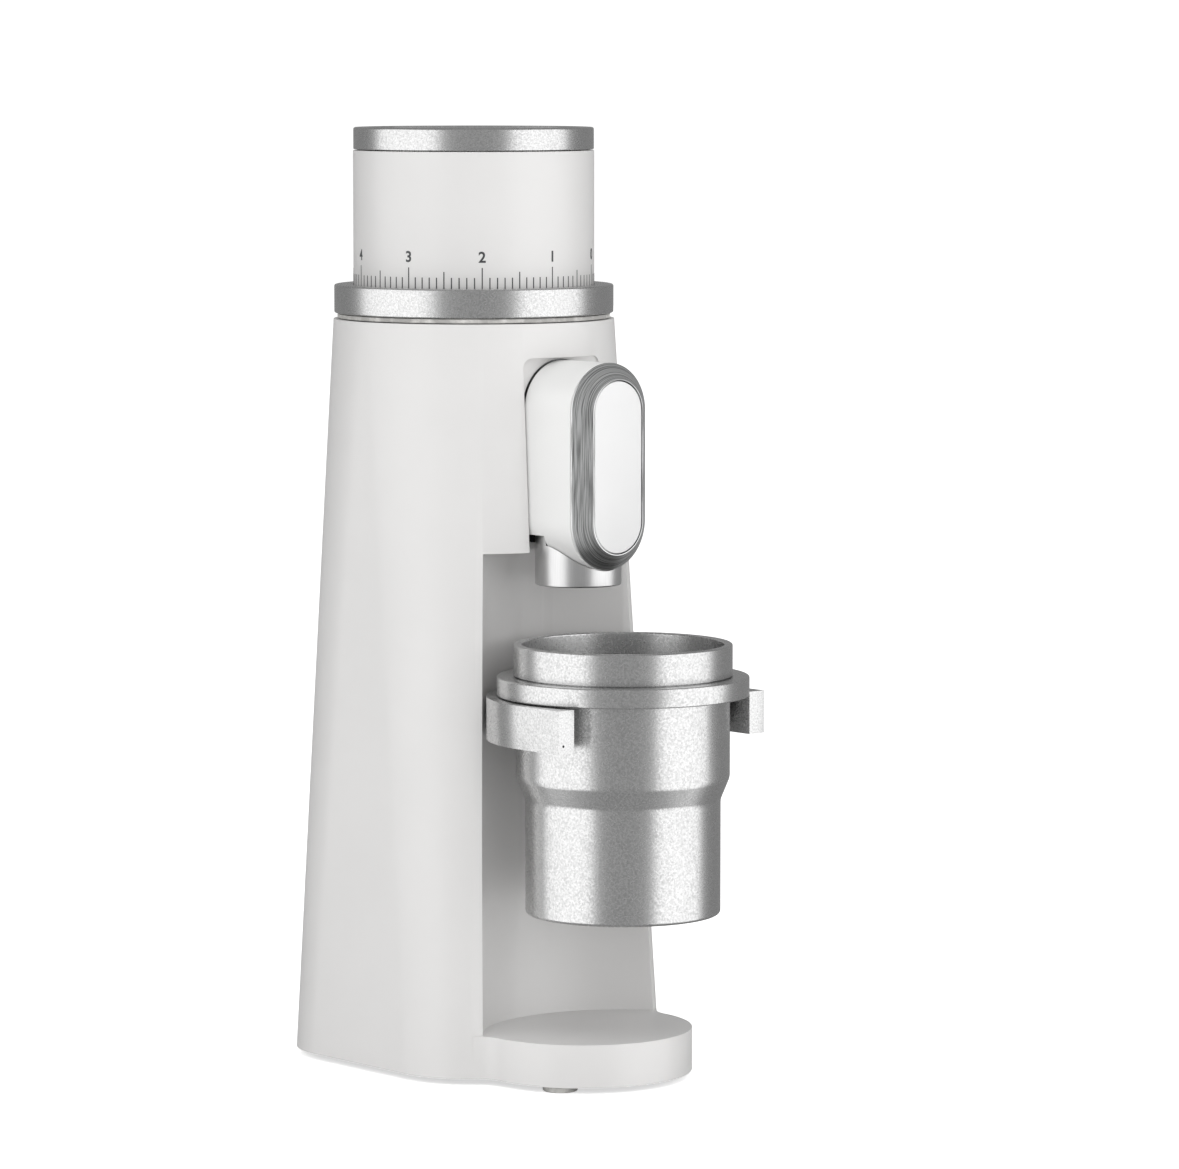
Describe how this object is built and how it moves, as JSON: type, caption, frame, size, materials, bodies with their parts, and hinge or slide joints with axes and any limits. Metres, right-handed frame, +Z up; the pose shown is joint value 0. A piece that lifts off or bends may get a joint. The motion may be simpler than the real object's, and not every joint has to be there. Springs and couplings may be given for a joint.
{
  "type": "burr coffee grinder",
  "caption": "Upright burr coffee grinder with a graduated dial, knocker lever, spout, cup fork and dosing cup.",
  "frame": {"origin": "centre of the footprint, on the surface that the grinder stands on", "axes": "+Z up; the spout and cup face -Y; +X to the right seen from the front"},
  "size_m": [0.0984, 0.1602, 0.2981],
  "materials": {
    "white_shell": "fine matt paint",
    "satin_aluminium": "bead-blasted and anodised",
    "gunmetal": "brushed dark metallic",
    "cast_aluminium": "as cast",
    "burr_steel": "ground tool steel",
    "spring_steel": "drawn wire",
    "zinc_screw": "zinc plated",
    "steel_can": "rolled sheet",
    "black_plastic": "moulded",
    "seal_silicone": "moulded",
    "ferrite": "sintered",
    "copper": "turned copper alloy",
    "circuit_board": "solder mask"
  },
  "bodies": {
    "base": {"body_shell": "white_shell", "collar_ring": "satin_aluminium", "spout_tube": "satin_aluminium", "cup_fork": "satin_aluminium", "motor_front_bell": "cast_aluminium", "motor_mount": "cast_aluminium", "burr_chamber": "cast_aluminium", "lever_bracket": "cast_aluminium", "shaft_bearing": "burr_steel", "carrier_spring": "spring_steel", "lever_spring": "spring_steel", "motor_can": "steel_can", "shaft_bush": "copper", "magnet_left": "ferrite", "magnet_right": "ferrite", "transformer": "ferrite", "base_plate": "black_plastic", "motor_rear_bell": "black_plastic", "chute": "black_plastic", "power_inlet": "black_plastic", "switch_frame": "black_plastic", "smoothing_capacitor": "black_plastic", "power_board": "circuit_board", "collar_gasket": "seal_silicone", "base_screw_front_left": "zinc_screw", "foot_pad_front_left": "seal_silicone", "base_screw_front_right": "zinc_screw", "foot_pad_front_right": "seal_silicone", "base_screw_rear_left": "zinc_screw", "foot_pad_rear_left": "seal_silicone", "base_screw_rear_right": "zinc_screw", "foot_pad_rear_right": "seal_silicone", "motor_screw_1": "zinc_screw", "motor_screw_2": "zinc_screw", "mount_screw_1": "zinc_screw", "mount_screw_2": "zinc_screw", "mount_screw_3": "zinc_screw", "fork_screw_left": "zinc_screw", "fork_screw_right": "zinc_screw"},
    "carrier": {"upper_burr_carrier": "cast_aluminium", "upper_burr": "burr_steel"},
    "dial": {"dial_sleeve": "white_shell", "thread_ring": "cast_aluminium", "hopper_funnel": "black_plastic"},
    "lid": {"lid": "satin_aluminium", "lid_seal": "seal_silicone"},
    "rotor": {"drive_shaft": "burr_steel", "armature_core": "steel_can", "commutator": "copper", "lower_burr_carrier": "cast_aluminium", "lower_burr": "burr_steel", "carrier_nut": "zinc_screw"},
    "knocker": {"lever_housing": "white_shell", "lever_bevel_ring": "gunmetal", "lever_front_plate": "white_shell", "lever_pin": "spring_steel"},
    "cup": {"dosing_cup": "satin_aluminium", "cup_collar": "satin_aluminium"},
    "switch": {"switch_rocker": "black_plastic"}
  },
  "joints": [
    {"name": "burr_height", "type": "slide", "parent": "base", "child": "carrier", "axis": [0, 0, 1], "range_m": [-0.0002, 0.0013], "deforming": ["carrier_spring"]},
    {"name": "dial_turn", "type": "hinge", "parent": "carrier", "child": "dial", "pos_m": [0, 0.0313, 0.2], "axis": [0, 0, 1], "range_deg": [-36, 288]},
    {"name": "lid_lift", "type": "slide", "parent": "dial", "child": "lid", "axis": [0, 0, 1], "range_m": [0, 0.03]},
    {"name": "burr_spin", "type": "hinge", "parent": "base", "child": "rotor", "pos_m": [0, 0.0313, 0.15], "axis": [0, 0, 1], "continuous": true},
    {"name": "knocker_swing", "type": "hinge", "parent": "base", "child": "knocker", "pos_m": [0, -0.0127, 0.2165], "axis": [-1, 0, 0], "range_deg": [0, 14], "stiffness_Nm_per_rad": 0.15, "springref_deg": -11.46},
    {"name": "cup_draw", "type": "slide", "parent": "base", "child": "cup", "axis": [0, -1, 0], "range_m": [0, 0.095]},
    {"name": "switch_tip", "type": "hinge", "parent": "base", "child": "switch", "pos_m": [0, 0.07561, 0.066], "axis": [1, 0, 0], "range_deg": [0, 16]}
  ],
  "couplings": [
    {"joint": "burr_height", "follows": "dial_turn", "m_per_rad": 0.00023873}
  ]
}
